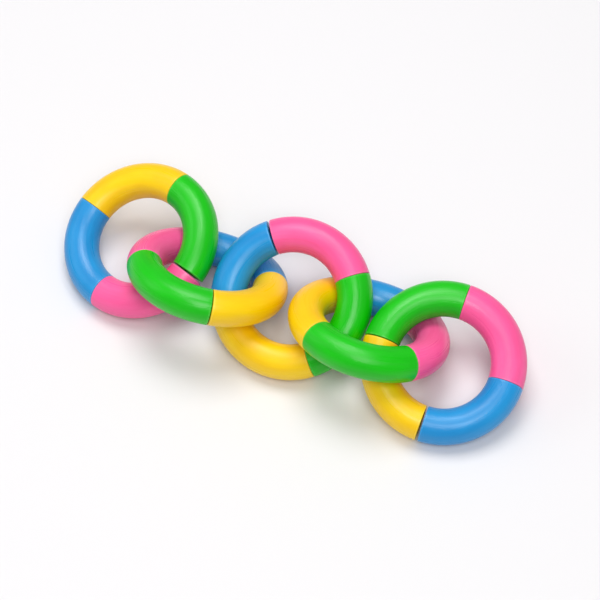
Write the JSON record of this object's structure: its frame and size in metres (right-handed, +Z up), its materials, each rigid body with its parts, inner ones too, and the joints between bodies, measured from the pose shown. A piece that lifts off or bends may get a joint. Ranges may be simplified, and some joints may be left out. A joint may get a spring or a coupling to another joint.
{
  "type": "linked ring puzzle",
  "caption": "Slack chain of interlinked round rings, each closed from four quarter-circle plastic bends in yellow, blue, pink and green that snap together end to end and swivel at every joint.",
  "frame": {"origin": "on the surface the chain lies on, under the middle of the whole chain's box", "axes": "+X along the chain from the left end ring to the right end ring, +Z up from the surface, +Y to the back"},
  "size_m": [0.167, 0.0556, 0.0338],
  "materials": {
    "yellow_plastic": "semi-gloss moulded plastic, warm yellow",
    "blue_plastic": "semi-gloss moulded plastic, sky blue",
    "pink_plastic": "semi-gloss moulded plastic, candy pink",
    "green_plastic": "semi-gloss moulded plastic, bright green"
  },
  "bodies": {
    "ring1_yellow": {"ring1_yellow_bend": "yellow_plastic"},
    "ring1_blue": {"ring1_blue_bend": "blue_plastic"},
    "ring1_pink": {"ring1_pink_bend": "pink_plastic"},
    "ring1_green": {"ring1_green_bend": "green_plastic"},
    "ring2_yellow": {"ring2_yellow_bend": "yellow_plastic"},
    "ring2_blue": {"ring2_blue_bend": "blue_plastic"},
    "ring2_pink": {"ring2_pink_bend": "pink_plastic"},
    "ring2_green": {"ring2_green_bend": "green_plastic"},
    "ring3_yellow": {"ring3_yellow_bend": "yellow_plastic"},
    "ring3_blue": {"ring3_blue_bend": "blue_plastic"},
    "ring3_pink": {"ring3_pink_bend": "pink_plastic"},
    "ring3_green": {"ring3_green_bend": "green_plastic"},
    "ring4_yellow": {"ring4_yellow_bend": "yellow_plastic"},
    "ring4_blue": {"ring4_blue_bend": "blue_plastic"},
    "ring4_pink": {"ring4_pink_bend": "pink_plastic"},
    "ring4_green": {"ring4_green_bend": "green_plastic"},
    "ring5_yellow": {"ring5_yellow_bend": "yellow_plastic"},
    "ring5_blue": {"ring5_blue_bend": "blue_plastic"},
    "ring5_pink": {"ring5_pink_bend": "pink_plastic"},
    "ring5_green": {"ring5_green_bend": "green_plastic"}
  },
  "joints": [
    {"name": "ring3_yellow_blue_swivel", "type": "hinge", "parent": "ring3_yellow", "child": "ring3_blue", "pos_m": [-0.01595, -0.01089, 0.01026], "axis": [-0.6296, 0.6732, 0.3877], "range_deg": [-15, 60]},
    {"name": "ring3_yellow_green_swivel", "type": "hinge", "parent": "ring3_yellow", "child": "ring3_green", "pos_m": [0.01428, -0.01321, 0.00794], "axis": [0.7763, 0.5649, 0.2798], "range_deg": [0, 180]},
    {"name": "ring3_green_pink_swivel", "type": "hinge", "parent": "ring3_green", "child": "ring3_pink", "pos_m": [0.01743, 0.01341, 0.0223], "axis": [0.6296, -0.6732, -0.3877], "continuous": true},
    {"name": "ring3_ring2_roll", "type": "hinge", "parent": "ring3_blue", "child": "ring2_yellow", "pos_m": [-0.0138, -0.001, 0.0155], "axis": [-1, 0, 0], "range_deg": [0, 50]},
    {"name": "ring2_yellow_blue_swivel", "type": "hinge", "parent": "ring2_yellow", "child": "ring2_blue", "pos_m": [-0.00898, 0.00488, 0.01196], "axis": [0.4423, -0.7744, 0.4523], "range_deg": [0, 180]},
    {"name": "ring2_yellow_green_swivel", "type": "hinge", "parent": "ring2_yellow", "child": "ring2_green", "pos_m": [-0.01875, -0.01989, 0.02664], "axis": [0.8968, 0.3777, -0.2303], "range_deg": [0, 165]},
    {"name": "ring2_green_pink_swivel", "type": "hinge", "parent": "ring2_green", "child": "ring2_pink", "pos_m": [-0.04754, -0.01136, 0.02186], "axis": [-0.4423, 0.7744, -0.4523], "range_deg": [0, 105]},
    {"name": "ring2_ring1_roll", "type": "hinge", "parent": "ring2_green", "child": "ring1_yellow", "pos_m": [-0.0423, -0.0009, 0.0157], "axis": [1, 0, 0], "range_deg": [0, 60]},
    {"name": "ring1_yellow_blue_swivel", "type": "hinge", "parent": "ring1_yellow", "child": "ring1_blue", "pos_m": [-0.07693, 0.00761, 0.01354], "axis": [0.2339, 0.8898, 0.3919], "range_deg": [0, 180]},
    {"name": "ring1_blue_pink_swivel", "type": "hinge", "parent": "ring1_blue", "child": "ring1_pink", "pos_m": [-0.06129, -0.01737, 0.00605], "axis": [-0.9613, 0.272, -0.0438], "range_deg": [0, 180]},
    {"name": "ring1_yellow_green_swivel", "type": "hinge", "parent": "ring1_yellow", "child": "ring1_green", "pos_m": [-0.05123, 0.02089, 0.0229], "axis": [-0.9613, 0.272, -0.0438], "range_deg": [0, 180]},
    {"name": "ring3_ring4_roll", "type": "hinge", "parent": "ring3_green", "child": "ring4_yellow", "pos_m": [0.015, 0.0022, 0.0163], "axis": [-1, 0, 0], "range_deg": [0, 50]},
    {"name": "ring4_yellow_blue_swivel", "type": "hinge", "parent": "ring4_yellow", "child": "ring4_blue", "pos_m": [0.01107, 0.0115, 0.01123], "axis": [0.5338, 0.7335, -0.4207], "range_deg": [0, 180]},
    {"name": "ring4_yellow_green_swivel", "type": "hinge", "parent": "ring4_yellow", "child": "ring4_green", "pos_m": [0.01776, -0.01451, 0.02548], "axis": [0.8453, -0.4764, 0.242], "range_deg": [0, 165]},
    {"name": "ring4_green_pink_swivel", "type": "hinge", "parent": "ring4_green", "child": "ring4_pink", "pos_m": [0.04741, -0.00898, 0.02164], "axis": [-0.5338, -0.7335, 0.4207], "range_deg": [0, 90]},
    {"name": "ring4_ring5_roll", "type": "hinge", "parent": "ring4_green", "child": "ring5_green", "pos_m": [0.0428, 0.0013, 0.016], "axis": [1, 0, 0], "range_deg": [0, 70]},
    {"name": "ring5_green_yellow_swivel", "type": "hinge", "parent": "ring5_green", "child": "ring5_yellow", "pos_m": [0.035, -0.0012, 0.01621], "axis": [-0.0704, 0.9327, 0.3538], "range_deg": [0, 120]},
    {"name": "ring5_green_pink_swivel", "type": "hinge", "parent": "ring5_green", "child": "ring5_pink", "pos_m": [0.05473, 0.02131, 0.02154], "axis": [-0.9878, -0.1145, 0.1055], "continuous": true},
    {"name": "ring5_pink_blue_swivel", "type": "hinge", "parent": "ring5_pink", "child": "ring5_blue", "pos_m": [0.07748, 0.00372, 0.01167], "axis": [-0.0704, 0.9327, 0.3538], "continuous": true}
  ]
}
